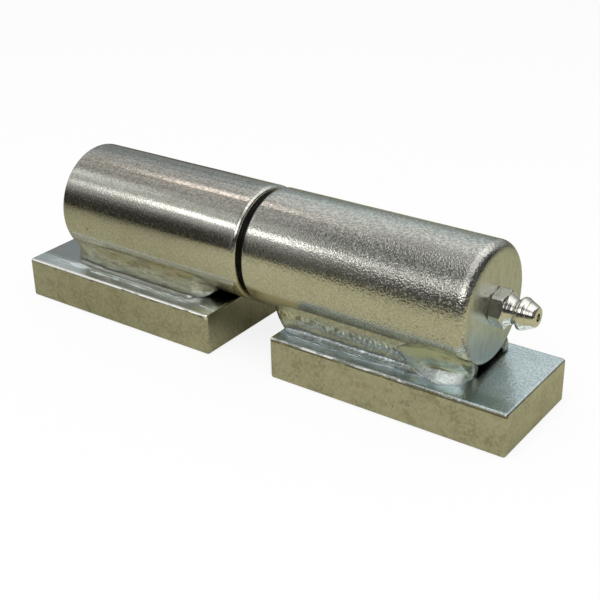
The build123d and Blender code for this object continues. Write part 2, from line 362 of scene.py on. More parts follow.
# %% Light of the vault, by degrees
# Each row: degrees up, the light that the far barrel mirrors, the light that the near one does
vault_light = [
    (0, (0.042, 0.042, 0.034), (0.13, 0.13, 0.112)),
    (15, (0.042, 0.042, 0.034), (0.15, 0.15, 0.13)),
    (24, (0.122, 0.122, 0.11), (0.30, 0.30, 0.28)),
    (33, (0.46, 0.46, 0.45), (0.44, 0.44, 0.43)),
    (44, (0.58, 0.59, 0.58), (0.52, 0.54, 0.52)),
    (56, (0.50, 0.51, 0.48), (0.46, 0.47, 0.45)),
    (70, (0.43, 0.43, 0.41), (0.40, 0.41, 0.39)),
    (84, (0.38, 0.37, 0.35), (0.37, 0.37, 0.36)),
    (97, (0.46, 0.44, 0.41), (0.42, 0.42, 0.41)),
    (110, (0.50, 0.49, 0.47), (0.58, 0.59, 0.58)),
    (125, (0.45, 0.45, 0.44), (0.64, 0.67, 0.66)),
    (137, (0.38, 0.40, 0.40), (0.64, 0.68, 0.67)),
    (147, (0.30, 0.33, 0.33), (0.53, 0.60, 0.61)),
    (157, (0.25, 0.27, 0.27), (0.29, 0.33, 0.33)),
    (180, (0.24, 0.25, 0.25), (0.27, 0.29, 0.28)),
]
vaulted, recipe = new_material("vault light")
x, y, z = parts_of(recipe.add("ShaderNodeTexCoord", output="Object"))
degrees_up = z.math("ARCTAN2", z, 0 - y) * (180 / math.pi)


def light_by_degrees(stops):
    """A colour ramp over the vault, from pairs of degrees and light."""
    stops = [(degrees / 180, colour) for degrees, colour in stops]
    return degrees_up.recipe.add("ShaderNodeValToRGB", {"stops": stops}, {0: degrees_up / 180})


far_light, near_light = [
    light_by_degrees([(row[0], row[side]) for row in vault_light]) for side in (1, 2)
]
light = turn(rise(x, -0.80, -0.76), far_light, near_light)
print(len(vault_light), "rows of light")

# %% [markdown]
# On the ramps lie the lights with an edge of their own: the tube, whose mirror image is the bright
# line along both bars, a broad pale card above it at the far end, and a small warm glow that shows
# mostly on the far bar. Small random lights and shades over the tube turn into sparkle on the
# pitted zinc.

# %% Tube, card and warm glow
# x is metres along the vault: from the photograph's place, the far bar mirrors it from about -1.1
# to -0.8, the near bar from there to -0.5, and the nipple mirrors what lies beyond
glow_share = band(degrees_up, 104, 2, 7) * rise(x, -1.00, -0.87) * fall(x, -0.80, -0.66)
light = turn(0.9 * glow_share, light, (1.55, 1.38, 1.26))
card_share = band(degrees_up, 67, 4, 10) * fall(x, -1.04, -0.86)
light = turn(0.9 * card_share, light, (0.84, 0.87, 0.85))
far_degrees, near_degrees = 44, 40.8
tube_middle = rise(x, -0.85, -0.70, far_degrees, near_degrees)
tube = band(degrees_up, tube_middle, 2.9, 6.3)
tube = tube * rise(x, -1.06, -0.86, 0.2, 1) * rise(x, -0.69, -0.54, 1, 0.12)
light = turn(tube, light, (2.1, 2.12, 2.05))

own = recipe.add("ShaderNodeTexCoord", output="Object")
clutter = patches(own, 0.085, 2.0, (9, 1, 1)) - 0.5
clutter = clutter * rise(degrees_up, 46, 60) * rise(x, -0.85, -0.60, 0.6, 1)
print("tube", far_degrees, "degrees up for the far bar and", near_degrees, "for the near one")

# %% [markdown]
# Along its length each bar mirrors another stretch of the vault. The gain below lowers or raises
# the light stretch by stretch: at the near bar's outer end, at the far bar's, and where only the
# nipple's hexagon looks. The end round and the rest of the nipple have a ramp of their own, of
# bright and dark in turn, which makes small curved metal look polished.

# %% Light along the bars
outer_end = rise(x, -0.70, -0.54) * fall(x, -0.49, -0.44)
far_end = fall(x, -1.02, -0.92)
hexagon = rise(x, -0.50, -0.46)
gain = 1 + 2.6 * clutter + outer_end * rise(degrees_up, 80, 100, -0.42, 0.30)
gain = gain - 0.30 * outer_end * band(degrees_up, 66, 16, 26)
gain = gain - 0.26 * far_end * band(degrees_up, 34, 8, 14)
gain = gain - 0.8 * hexagon * fall(degrees_up, 25, 32)
gain = gain + 2.0 * hexagon * band(degrees_up, 84, 12, 18)
light = scaled(light, gain)

# Degrees up, and the light there for the end round and the nipple
sharp_light = [
    (0, (0.30, 0.30, 0.28)), (10, (0.06, 0.06, 0.06)), (26, (0.07, 0.07, 0.07)),
    (32, (2.0, 2.0, 1.95)), (48, (2.0, 2.0, 1.95)), (60, (0.45, 0.45, 0.45)),
    (70, (0.8, 0.8, 0.8)), (80, (1.6, 1.6, 1.55)), (130, (1.1, 1.12, 1.10)),
    (150, (0.45, 0.47, 0.47)), (180, (0.30, 0.31, 0.31)),
]
light = turn(rise(x, -0.38, -0.28), light, light_by_degrees(sharp_light))
light = turn(rise(x, 0.66, 0.84) * 0.92, light, (0.04, 0.04, 0.04))
glow = recipe.add("ShaderNodeEmission", {}, {"Color": light, "Strength": 1.0})
recipe.add("ShaderNodeOutputMaterial", {}, {"Surface": glow})
vault.data.materials.append(vaulted)
only_in_reflections(vault)
print("vault's light has", len(vaulted.node_tree.nodes), "nodes")

# %% [markdown]
# ## Zinc on round bar
#
# The barrels are cut from drawn round bar and plated. Zinc follows every pit of the steel under
# it, so near the gap, where the bar was turned smooth, the mirrored strip is sharp, and towards
# the outer ends it breaks up into sparkles about half a millimetre across. A picture of such zinc
# would blur close up, so noise makes the pits, at any distance. Their height comes first.

# %% Where the barrels are
hinge_box = [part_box(name) for name in ("pin_side_barrel", "bore_side_barrel")]
bars_start, bars_end = hinge_box[0][0].x / mm, hinge_box[1][1].x / mm
gap_middle = (hinge_box[0][1].x + hinge_box[1][0].x) / 2 / mm
axis_y = (hinge_box[0][0].y + hinge_box[0][1].y) / 2 / mm
axis_z = (hinge_box[0][0].z + hinge_box[0][1].z) / 2 / mm
print("hinge axis at y =", round(axis_y, 2), "and z =", round(axis_z, 2), "mm")

# %% Pits of the barrels
zinc_barrel, recipe = new_material("zinc on round bar")
place = place_in_mm(recipe)
x, _, z = parts_of(place)
near_bar = rise(x, gap_middle - 1, gap_middle + 1)
outwards = rise(abs(x - gap_middle) + 12 * (patches(place, 11) - 0.5), 3, 40)
pitted = 0.10 + 0.22 * near_bar + outwards * (0.22 + 0.72 * near_bar)
on_end = rise(x, bars_end - 0.35, bars_end - 0.1)
grain = patches(place, 0.38, 0.0)
fine = patches(place, 0.22, 0.0)
drawn = patches(place, 0.7, 1.0, (14, 1, 1))
height = (grain * 0.040 + fine * 0.020) * pitted * (1 - 0.8 * on_end) + drawn * 0.006
print("barrels are pitted away from x =", round(gap_middle, 2), "mm")

# %% [markdown]
# The zinc itself is nearly one grey. What differs is thin: dark pits, and dull and bright specks on
# top. Painted on it are a straw reflection low down, a darker band of painted shade on the near
# bar's shoulder, and painted shade underneath, where the bar meets the plate. The cut end face is
# rougher and streaky, and its bluish lower half and paler upper half are painted reflection.

# %% Colours of the barrels
cloud = patches(place, 7.0, 3.0)
speck = rise(patches(place, 0.36, 0.0), 0.30, 0.70)
colour = turn(speck, (0.57, 0.56, 0.52), (0.73, 0.72, 0.67))
colour = turn(0.22 * rise(cloud, 0.45, 0.75), colour, (0.50, 0.47, 0.37))

# Painted reflection: the straw tint low down stands for the khaki bench that the bar mirrors
low_reflection_tint = z + 0.8 * (cloud - 0.5) + 0.5 * rise(x, -4, 4)
low_reflection_tint = fall(low_reflection_tint, axis_z - 5.1, axis_z - 4.1)
colour = turn(0.8 * low_reflection_tint, colour, (0.47, 0.43, 0.28))
pit = rise(patches(place, 0.55, 0.0), 0.70, 0.82) * outwards
colour = turn(0.7 * pit, colour, (0.22, 0.21, 0.17))

upper = rise(z, axis_z + 7, axis_z + 11)
spark = patches(place, 0.42, 1.0, (1.6, 1, 1))
colour = turn(0.45 * upper * rise(spark, 0.52, 0.62), colour, (0.30, 0.30, 0.28))
colour = turn(0.35 * upper * fall(spark, 0.38, 0.46), colour, (1.0, 1.0, 0.97))
# Painted shade: a darker band on the near bar's shoulder, dimming what it mirrors there
shoulder_shade = rise(z, axis_z + 5.5, axis_z + 9.5) * fall(z, axis_z + 11.2, axis_z + 12.3)
colour = turn(0.8 * shoulder_shade * rise(x, 14, 40), colour, (0.33, 0.33, 0.31))

streaky = patches(place, 1.2, 3.0, (1, 1, 3))
# The streaks are the face's own; its bluish lower half and paler upper half are painted reflection
low_face_reflection = turn(streaky, (0.36, 0.42, 0.41), (0.72, 0.79, 0.77))
high_face_reflection = turn(streaky, (0.52, 0.52, 0.47), (0.74, 0.75, 0.69))
face = turn(rise(z + 6 * (cloud - 0.5), axis_z - 5, axis_z + 3), low_face_reflection, high_face_reflection)
colour = turn(on_end, colour, face)
# Painted shade: near black underneath the bar, where it meets the plate
painted_shade_underneath = fall(z, axis_z - 12.0, axis_z - 10.4)
colour = turn(0.9 * painted_shade_underneath * (1 - on_end), colour, (0.04, 0.04, 0.035))
print("end face at x =", round(bars_end, 2), "mm")

# %% Gloss of the barrels
lower = fall(z, axis_z - 9, axis_z - 3)
dull = rise(patches(place, 0.45, 1.0), 0.54, 0.64) * (0.4 + 0.6 * pitted) * (1 - lower)
roughness = 0.07 + 0.05 * cloud + 0.04 * pitted + 0.14 * lower + 0.20 * on_end + 0.22 * dull
finish_metal(recipe, colour, roughness, height)
print(zinc_barrel.name, "has", len(zinc_barrel.node_tree.nodes), "nodes")

# %% [markdown]
# ## Zinc on flat bar
#
# The plates are flat bar. Their colour is partly painted reflection: bluish on the flat top and
# straw-coloured on the cut sides, which stand for what the top and the sides mirror. The top front
# edge, worn by handling, carries a bright broken line of painted highlight, with a darker broken
# line just under it.

# %% Edges and marks of the plates
plate_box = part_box("bore_side_plate")
plate_top, plate_front = plate_box[1].z / mm, plate_box[0].y / mm
inner_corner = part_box("pin_side_plate")[1].x / mm
zinc_plate, recipe = new_material("zinc on flat bar")
place = place_in_mm(recipe)
x, y, z = parts_of(place)
near_half, far_half = rise(x, -4, 4), fall(x, -4, 4)
on_top = rise(z, plate_top - 0.30, plate_top - 0.05)
front_top = fall(y, plate_front + 3.0, plate_front + 5.5)

at_edge = fall(y, plate_front + 0.30, plate_front + 0.60)
broken = patches(place, 1.2, 3.0, (2.4, 1, 1))
# Painted highlight: a bright broken line along the worn top front edge
worn_edge_highlight = rise(z, plate_top - 0.46, plate_top - 0.36) * at_edge * rise(broken - 0.003 * x, 0.36, 0.52)
# A darker broken line just under the edge
dark_line_under_edge = band(z, plate_top - 0.66, 0.08, 0.24) * at_edge * rise(broken + 0.003 * x, 0.40, 0.54)

# Brush marks along the toe of the front weld
toe = band(y, plate_front + 3.2, 0.4, 1.2) * on_top * fall(x, 34, 38)
marks = toe * rise(patches(place, 0.45, 2.0, (9, 1, 1)), 0.52, 0.64)
print("plate top at", round(plate_top, 2), "mm")

# %% Colours of the plates
cloud = patches(place, 5.0, 4.0)
speck = rise(patches(place, 0.45, 1.0), 0.34, 0.66)
# Painted reflection: the top's bluish tones, greyer on the far half, with darker and lighter strips
# along the front
top = turn(speck, (0.60, 0.70, 0.73), (0.86, 0.94, 0.95))
top = turn(0.75 * fall(x, -20, 0), top, (0.50, 0.50, 0.48))
top = turn(0.6 * front_top * near_half, top, (0.42, 0.52, 0.57))
top = turn(0.85 * front_top * far_half, top, (0.92, 1.0, 0.98))

mottle = rise(patches(place, 0.65, 3.0), 0.38, 0.62)
stain = rise(patches(place, 3.4, 4.0), 0.56, 0.68)
dots = rise(patches(place, 0.7, 1.0), 0.66, 0.76) * rise(patches(place, 6.0, 1.0), 0.44, 0.60)
# The straw base of the sides is painted reflection of the khaki bench; mottles, stains and dots are
# the zinc's own
side = turn(rise(cloud, 0.35, 0.65), (0.42, 0.41, 0.35), (0.54, 0.53, 0.46))
side = turn(0.62 * mottle, side, (0.64, 0.64, 0.57))
side = turn(0.30 * stain, side, (0.38, 0.31, 0.20))
side = turn(0.6 * dots, side, (0.22, 0.19, 0.13))

colour = turn(on_top, side, top)
colour = turn(0.85 * dark_line_under_edge, colour, (0.10, 0.09, 0.07))
# The painted highlight along the worn edge
colour = turn(worn_edge_highlight, colour, (1.0, 1.0, 0.98))
# Painted highlight on the knocked inner corner of the top front edge
to_corner_highlight = abs(x - inner_corner) + abs(y - plate_front) + abs(z - plate_top)
colour = turn(fall(to_corner_highlight, 0.9, 1.8), colour, (1.0, 1.0, 0.96))
print("knocked corner at x =", round(inner_corner, 2), "mm")

# %% [markdown]
# Where zinc has been brushed or has stood wet, it goes chalky: a whitish layer that mirrors
# nothing. It could be laid on as a second shader, but a metal that is less metallic does the same
# with one number. And in the wedge under the bars, where plate and bar meet, shade is painted dark.

# %% Chalky zinc and painted shade on the plates
along, out = x + 49.6, y + 10.4  # from the middle of a wiped smear at the far bead's start
smear = fall(0.2 * (along * along) + 1.4 * (out * out), 0.3, 2.2) * on_top
far_strip = 0.10 * on_top * front_top * far_half * rise(x, -60, -52)
behind = 0.13 * on_top * rise(y, -2, 4)
chalky = x.math("MINIMUM", 0.8 * marks + far_strip + smear + behind, 0.9)
colour = turn(rise(chalky, 0.13, 0.6), colour, (0.74, 0.82, 0.82))

# Painted shade: near black in the wedge under the bars, where plate and bar meet
painted_wedge_shade = band(y, axis_y, 5.5, 8.0) * on_top * rise(x, bars_start - 0.5, bars_start + 0.2)
painted_wedge_shade = painted_wedge_shade * fall(x, bars_end - 0.2, bars_end + 0.5)
colour = turn(0.92 * painted_wedge_shade, colour, (0.035, 0.035, 0.03))
print("painted_shade from x =", round(bars_start, 2), "to", round(bars_end, 2), "mm")

# %% Height and gloss of the plates
grain = patches(place, 0.55, 2.0)
rolled = patches(place, 0.5, 2.0, (16, 1, 1))
swell = patches(place, 11.0, 2.0)
height = on_top * (grain * 0.050 + rolled * 0.02) + (1 - on_top) * (cloud * 0.05 + grain * 0.022)
height = height + swell * 0.25 + marks * 0.06
roughness = 0.17 + 0.12 * cloud - 0.08 * worn_edge_highlight
edge_line = worn_edge_highlight * fall(y, plate_front + 0.12, plate_front + 0.36)
chalk = x.math("MINIMUM", chalky + 0.5 * edge_line, 0.95)
finish_metal(recipe, colour, roughness, height, chalk)
print(zinc_plate.name, "has", len(zinc_plate.node_tree.nodes), "nodes")

# %% [markdown]
# ## Zinc over the weld
#
# Weld metal freezes in ripples, with brown lines and streaks on its upper face. Low down a bead's
# colour is a painted reflection of the bluish plate. The recipe goes up the bead: the lower colour,
# the upper one, and between the two a ridge of fine crescents, strongest on the near bead, painted
# lighter on their raised parts and darker in their hollows, as highlight and shade.

# %% Colours of the beads
zinc_weld, recipe = new_material("zinc over weld")
place = place_in_mm(recipe)
x, y, z = parts_of(place)
above_plate = z - plate_top
first_pass, second_pass = fall(x, 37, 40), rise(x, 37, 40)
far_half = fall(x, -4, 4)
cloud = patches(place, 3.5, 3.0)
speck = rise(patches(place, 0.5, 1.0), 0.34, 0.66)

# Painted reflection: the bluish lower colour stands for the plate that the bead mirrors
lower = turn(speck, (0.40, 0.47, 0.49), (0.62, 0.69, 0.70))
lower = turn(0.8 * far_half, lower, (0.38, 0.37, 0.32))
upper = turn(speck, (0.44, 0.45, 0.40), (0.60, 0.60, 0.54))
upper = turn(0.8 * second_pass, upper, (0.52, 0.57, 0.45))
upper = turn(0.75 * far_half, upper, (0.46, 0.42, 0.28))
streaks = rise(patches(place, 1.5, 3.0, (4, 1, 1)), 0.54, 0.64)
upper = turn(0.6 * streaks, upper, (0.30, 0.27, 0.19))
lines = band(patches(place, 2.0, 3.0, (6, 1, 1)), 0.5, 0.0, 0.03) * far_half
upper = turn(0.7 * lines, upper, (0.26, 0.22, 0.13))
low = fall(above_plate + 1.6 * (cloud - 0.5), 0.4, 2.6) * first_pass
colour = turn(low, upper, lower)

ridge_height = 3.3
ridge = band(above_plate + 1.2 * (cloud - 0.5), ridge_height, 0.35, 0.9) * fall(x, 35, 38)
ridge = ridge * (1 - 0.8 * far_half)
crescent = patches(place, 0.62, 1.0, (1.2, 1, 1.6))
# Painted highlight on the crescents' raised parts and painted shade in their hollows
colour = turn(ridge * rise(crescent, 0.52, 0.60), colour, (0.70, 0.67, 0.55))
colour = turn(ridge * fall(crescent, 0.40, 0.48), colour, (0.30, 0.27, 0.19))
print("ridge", ridge_height, "mm above the plate")

# %% [markdown]
# The near bead's second pass ends in a foot on the plate. Its zinc is coarse and half chalky, and
# a painted highlight runs along the pass's slanting lower edge. Only the front bead has them.

# %% Foot of the second pass, height and gloss
in_front = fall(y, -2, 0)
foot = rise(x, 40.0, 42.5) * fall(x, 49.9, 50.9) * in_front
foot = foot * fall(above_plate + 0.8 * (cloud - 0.5), 1.8, 2.5)
coarse_zinc = turn(speck, (0.33, 0.37, 0.36), (0.52, 0.58, 0.55))
coarse_zinc = turn(rise(x, 44, 50), coarse_zinc, (0.80, 0.86, 0.83))
colour = turn(foot, colour, coarse_zinc)
# Painted highlight along the second pass's slanting lower edge
edge_height = rise(x, 36.4, 42.4, 1.6, 0.1)
painted_glint_band = band(above_plate, edge_height, 0.12, 0.26) * rise(x, 36.6, 37.2) * fall(x, 42.0, 43.0)
colour = turn(painted_glint_band * in_front, colour, (1.0, 1.0, 0.96))

grain = patches(place, 0.5, 2.0)
height = grain * 0.045 + ridge * crescent * 0.07 + foot * speck * 0.03
roughness = 0.24 + 0.10 * cloud + 0.10 * foot
finish_metal(recipe, colour, roughness, height, 0.6 * foot)
print(zinc_weld.name, "has", len(zinc_weld.node_tree.nodes), "nodes")

# %% [markdown]
# ## The small parts
#
# The nipple is a turned part, plated brighter than the bars. The pin is ground, the ball polished,
# the spring is drawn wire, and the thrust washer is near black. Each could have a recipe of
# its own, but all of them show the same faint rings round the hinge's axis, so one does for all.

# %% Finishes of the small parts
def turned_finish(name, dark, bright, roughness, groove):
    """Turned metal: faint rings square to the hinge's axis, each groove this deep in mm."""
    material, recipe = new_material(name)
    place = place_in_mm(recipe)
    rings = patches(place, 0.30, 2.0, (1, 60, 60))
    cloud = patches(place, 1.6, 3.0)
    colour = turn(cloud, dark, bright)
    finish_metal(recipe, colour, roughness + 0.08 * cloud, rings * groove)
    return material


nipple_zinc = turned_finish(
    "bright zinc on the nipple", (0.66, 0.65, 0.60), (0.86, 0.85, 0.80), 0.05, 0.034
)
ground_steel = turned_finish("ground steel", (0.50, 0.50, 0.49), (0.62, 0.62, 0.61), 0.16, 0.002)
ball_steel = turned_finish("polished ball", (0.58, 0.58, 0.58), (0.66, 0.66, 0.66), 0.05, 0.0)
spring_steel = turned_finish("spring wire", (0.36, 0.36, 0.37), (0.48, 0.48, 0.48), 0.22, 0.001)
black_washer = turned_finish(
    "near-black washer", (0.015, 0.015, 0.015), (0.035, 0.035, 0.033), 0.42, 0.004
)
print("turned finishes:", nipple_zinc.name, "and four more like it")

# %% [markdown]
# ## The barrels
#
# Each barrel is turned: a profile run round the hinge's axis. A mesh straight from CAD has long
# thin triangles, which a mirror finish shows as stripes. So the profile is run again here with
# short steps, and the bar gets the slight unevenness of real drawn bar, a few hundredths of a
# millimetre, which makes the bright strip waver.

# %% Profiles
radius = (hinge_box[0][1].y - hinge_box[0][0].y) / 2 / mm


def with_steps(profile, longest):
    """The profile with points added, so that no step is longer than this."""
    stepped = [profile[0]]
    for (x0, r0), (x1, r1) in zip(profile, profile[1:]):
        count = max(1, math.ceil(math.hypot(x1 - x0, r1 - r0) / longest))
        stepped += [
            (x0 + (x1 - x0) * i / count, r0 + (r1 - r0) * i / count) for i in range(1, count + 1)
        ]
    return stepped


def corner_round(x, r, size, side, steps=8):
    """A quarter round at the bar's outer corner, at x and r, with the bar on this side of x."""
    turns = [math.pi / 2 * i / steps for i in range(steps + 1)]
    return [(x + side * size * (1 - math.sin(t)), r - size * (1 - math.cos(t))) for t in turns]


print("bars of", round(2 * radius, 2), "mm")

# %% [markdown]
# The profile's rings are joined to a sheet, which leaves a seam where each ring closes and a
# pinch at each pole. Merging the doubled points shuts both, and the normals are turned outwards
# after that, when the mesh knows its inside from its outside.

# %% Turning a profile
def merged_shape(piece, apart):
    """The piece's mesh, open for edits, with points that are nearer than this in mm merged."""
    shape = bmesh.new()
    shape.from_mesh(piece.data)
    bmesh.ops.remove_doubles(shape, verts=shape.verts, dist=apart * mm)
    return shape


def put_back(shape, piece):
    """Ends the edits of a piece's mesh."""
    shape.to_mesh(piece.data)
    shape.free()


wave_length, waves_round = 9, 1.9
sharp_angle = math.radians(24)


def turned_piece(name, profile, segments=224, longest=0.6, uneven=0.0, side_reach=None):
    """A profile of x and r in mm, run round the hinge's axis. Sides, if any, cut the rings flat."""
    rings = []
    for x, r in with_steps(profile, longest):
        ring = []
        for s in range(segments):
            t = 2 * math.pi * s / segments
            y, z = math.cos(t), math.sin(t)
            outer = max(0.0, min(1.0, (r - 0.8 * radius) / (0.2 * radius)))
            spot = Vector((x / wave_length, y * waves_round, z * waves_round))
            wave = noise.noise(spot) * uneven * outer
            reach = min(r + wave, side_reach(t)) if side_reach else r + wave
            ring.append((x * mm, (axis_y + reach * y) * mm, (axis_z + reach * z) * mm))
        rings.append(ring + ring[:1])
    piece = sheet_mesh(name, rings)
    shape = merged_shape(piece, 1e-3)
    bmesh.ops.recalc_face_normals(shape, faces=shape.faces)
    for face in shape.faces:
        face.smooth = True
    for edge in shape.edges:
        if len(edge.link_faces) == 2 and edge.calc_face_angle(0) > sharp_angle:
            edge.smooth = False
    put_back(shape, piece)
    return piece


print("an edge is sharp past", round(math.degrees(sharp_angle)), "degrees")

# %% The far barrel, with the seat of the pin
waver = 0.02
outer_round, inner_round = 0.8, 0.9
drill_slope = math.tan(math.radians(59))
pin_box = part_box("hinge_pin")
pin_radius = (pin_box[1].y - pin_box[0].y) / 2 / mm
seat_end, far_face = pin_box[0].x / mm, hinge_box[0][1].x / mm
pin_side_barrel = turned_piece("pin_side_bar", uneven=waver, profile=[
    (seat_end - pin_radius / drill_slope, 0.0),
    (seat_end, pin_radius),
    (far_face, pin_radius),
    *reversed(corner_round(far_face, radius, inner_round, -1)),
    *corner_round(bars_start, radius, outer_round, 1),
    (bars_start, 0.0),
])
print("pin of", round(2 * pin_radius, 2), "mm, pressed in to x =", round(seat_end, 2), "mm")

# %% The near barrel, with the bore, the grease's way and the nipple's hole
near_face = hinge_box[1][0].x / mm
running_gap = 0.05  # between the pin and its bore
bore_radius, bore_end = pin_radius + running_gap, bars_end - 9.8
mouth = 0.8  # the chamfer at the bore's mouth
hole_radius, hole_end = 3.0, bars_end - 6.5  # for the nipple's shank
grease_radius = 1.5
rim, end_round = 0.5, 2.2  # the bar's rounds at the gap and at the nipple
bore_side_barrel = turned_piece("bore_side_bar", uneven=waver, profile=[
    *reversed(corner_round(near_face, radius, rim, 1)),
    *corner_round(bars_end, radius, end_round, -1),
    (bars_end, hole_radius),
    (hole_end, hole_radius),
    (hole_end, grease_radius),
    (bore_end + (bore_radius - grease_radius) / drill_slope, grease_radius),
    (bore_end, bore_radius),
    (near_face + mouth, bore_radius),
    (near_face, bore_radius + mouth),
    (near_face, radius - rim),
])
print("bore of", round(2 * bore_radius, 2), "mm to x =", round(bore_end, 2), "mm")

# %% The barrels take the place of the CAD ones
for piece, node, body in (
    (pin_side_barrel, "pin_side_barrel", "pin_half"),
    (bore_side_barrel, "bore_side_barrel", "bore_half"),
):
    piece.data.materials.append(zinc_barrel)
    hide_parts(node)
    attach(piece, body)
    print(piece.name, len(piece.data.polygons), "faces")

# %% [markdown]
# ## The grease nipple
#
# The nipple is one turned piece too, but its foot is a hexagon. Seen from the end, a hexagon is a
# round bar with six flats milled on it, so the same turning is used, and each ring is cut back to
# the flats. Where the flats meet the turned chamfers, the familiar arcs appear by themselves.

# %% Nipple with its hexagon
flats_apart, corner_radius, hex_turn = 7.0, 3.92, math.radians(9)
chamfer_radius, chamfer_slope = 3.4, math.tan(math.radians(30))


def to_the_flats(t):
    """From the middle to the hexagon's side, in the direction t."""
    off = (t - hex_turn) % (math.pi / 3) - math.pi / 6
    return min(flats_apart / 2 / math.cos(off), corner_radius)


# Pairs of x from the bar's end face and r, from the inside of the shank over the head to the foot
corner = to_the_flats(hex_turn)
cut = (corner - chamfer_radius) * chamfer_slope
nipple = turned_piece("grease_nipple", segments=240, longest=0.12, side_reach=to_the_flats, profile=[
    (bars_end + x, r)
    for x, r in (
        (-5.5, 0.85), (-4.9, 0.85), (-4.9, 1.3), (7.0, 1.3), (7.5, 0.8), (8.72, 0.8), (8.8, 0.88),
        (8.8, 1.62), (8.74, 1.82), (8.55, 2.02), (8.3, 2.18), (7.2, 2.70), (7.12, 2.66),
        (7.04, 2.78), (6.45, 3.07), (6.28, 3.19), (6.1, 3.25), (5.62, 3.25), (5.45, 3.19),
        (5.3, 3.05), (4.76, 2.52), (4.62, 2.46), (4.2, 2.46), (4.05, 2.52), (3.0, 3.12),
        (2.9, 3.2), (2.9, chamfer_radius), (2.9 - cut, corner), (cut, corner),
        (0.0, chamfer_radius), (0.0, 2.98),
        (-5.5, 2.98), (-5.5, 0.85),
    )
])
nipple.data.materials.append(nipple_zinc)
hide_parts("nipple_body")
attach(nipple, "bore_half")
print(nipple.name, len(nipple.data.polygons), "faces")

# %% [markdown]
# Behind the nipple's mouth a ball is held by a spring. A gun's grease pushes the ball in, and the
# spring gets shorter. The CAD spring is rigid, so a copy of it, its loose triangles merged, takes
# its place; it keeps its length.

# %% Spring, a merged copy of the CAD one
spring = bpy.data.objects.new("check_spring", nodes["nipple_spring"].data.copy())
bpy.context.scene.collection.objects.link(spring)
put_back(merged_shape(spring, 1e-4), spring)
spring.data.materials.clear()
spring.data.materials.append(spring_steel)
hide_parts("nipple_spring")
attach(spring, "bore_half")
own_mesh(spring)
print(spring.name, len(spring.data.polygons), "faces")

# %% [markdown]
# ## The weld beads
#
# Each bead is first laid as a smooth body: a few cross-sections along the seam, each of six points
# from the upper toe on the barrel down to the lower toe on the plate, with smooth lines run through
# them both ways. A point is given as its place along the hinge, its distance from the hinge's axis
# and its height above the plate. The near half has two passes: a long one, and a short, fuller one
# that the welder laid over its end.

# %% Smooth lines through a few cross-sections
def eased(rows, at):
    """The values at one place on smooth lines through rows, which lie one step apart."""
    i = min(int(at), len(rows) - 2)
    t = at - i
    ends = rows[i], rows[i + 1]
    slopes = [
        [(b - a) / (high - low) for a, b in zip(rows[low], rows[high])]
        for low, high in ((max(i - 1, 0), i + 1), (i, min(i + 2, len(rows) - 1)))
    ]
    weights = (1 + 2 * t) * (1 - t) ** 2, t * t * (3 - 2 * t), t * (1 - t) ** 2, t * t * (t - 1)
    return [sum(w * v for w, v in zip(weights, values)) for values in zip(*ends, *slopes)]


print("eased halfway from 0 to 1:", eased([[0], [1]], 0.5))

# %% [markdown]
# The six points are the bead's face. To close the body, each section goes on inside the barrel and
# the plate, where nothing shows. The lower toe wanders a little along the plate, as a hand-held
# torch leaves it. Each point also keeps its share of the way across the face, which the ripples
# need later.

# %% A smooth bead from its sections
bead_columns, bead_step = 44, 0.22
axis_height = 12.8  # the hinge's axis above the plates' tops
toe_wander, wander_length, wander_seed = 0.22, 2.4, 3.7
sunk = 0.5  # how far the upper toe goes on into the barrel
tuck_back, tuck_down = 0.4, 0.25  # how far the lower toe goes on into the plate
inner_reach, inner_height = 5.6, 2.0


def bead_ring(points, side):
    """A section's smooth face, closed inside the barrel and the plate."""
    face = [eased(points, 5 * c / bead_columns) for c in range(bead_columns + 1)]
    x, d, h = face[-1]
    wander = noise.noise(Vector((x / wander_length, wander_seed * side, 0.5)))
    face = [
        (px, pd + toe_wander * wander * (c / bead_columns) ** 4, ph)
        for c, (px, pd, ph) in enumerate(face)
    ]
    top_x, top_d, top_h = face[0]
    inner = math.hypot(top_d, axis_height - top_h)
    toe = (top_x, top_d * (1 - sunk / inner), top_h + (axis_height - top_h) * sunk / inner)
    inside = [
        (x, d - tuck_back, h - tuck_down),
        (x, inner_reach, h - tuck_down),
        (top_x, inner_reach, inner_height),
    ]
    ring = [toe, *face, *inside, toe]
    return [(px * mm, (axis_y + side * pd) * mm, (plate_top + ph) * mm) for px, pd, ph in ring]


def bead_body(name, side, sections):
    """A closed smooth bead in front of the barrel (side -1) or behind it (side 1)."""
    rows = [[v for point in section for v in point] for section in sections]
    rings = []
    for i in range(len(rows) - 1):
        length = abs(rows[i + 1][3] - rows[i][3])
        count = max(3, round(length / bead_step))
        last = i == len(rows) - 2
        for k in range(count + last):
            flat = eased(rows, i + k / count)
            rings.append(bead_ring([flat[j:j + 3] for j in range(0, len(flat), 3)], side))
    piece = sheet_mesh(name, rings)
    shares = [-1.0, *[c / bead_columns for c in range(bead_columns + 1)], *[-1.0] * 4]
    across = piece.data.attributes.new("across", "FLOAT", "POINT")
    across.data.foreach_set("value", shares * len(rings))
    shape = merged_shape(piece, 1e-4)
    bmesh.ops.holes_fill(shape, edges=shape.edges, sides=0)
    bmesh.ops.recalc_face_normals(shape, faces=shape.faces)
    put_back(shape, piece)
    return piece


print("columns across a bead:", bead_columns)

# %% [markdown]
# Where a section stands square to the hinge's axis, it is written as its place along the axis and
# six pairs of distance and height, all in millimetres. The ends of the second pass lean, so their
# points have a place each. The numbers follow the outlines of the real beads.

# %% Sections of the front beads
def upright(x, *points):
    """A section at one place along the hinge, from pairs of distance and height."""
    return [(x, d, h) for d, h in points]


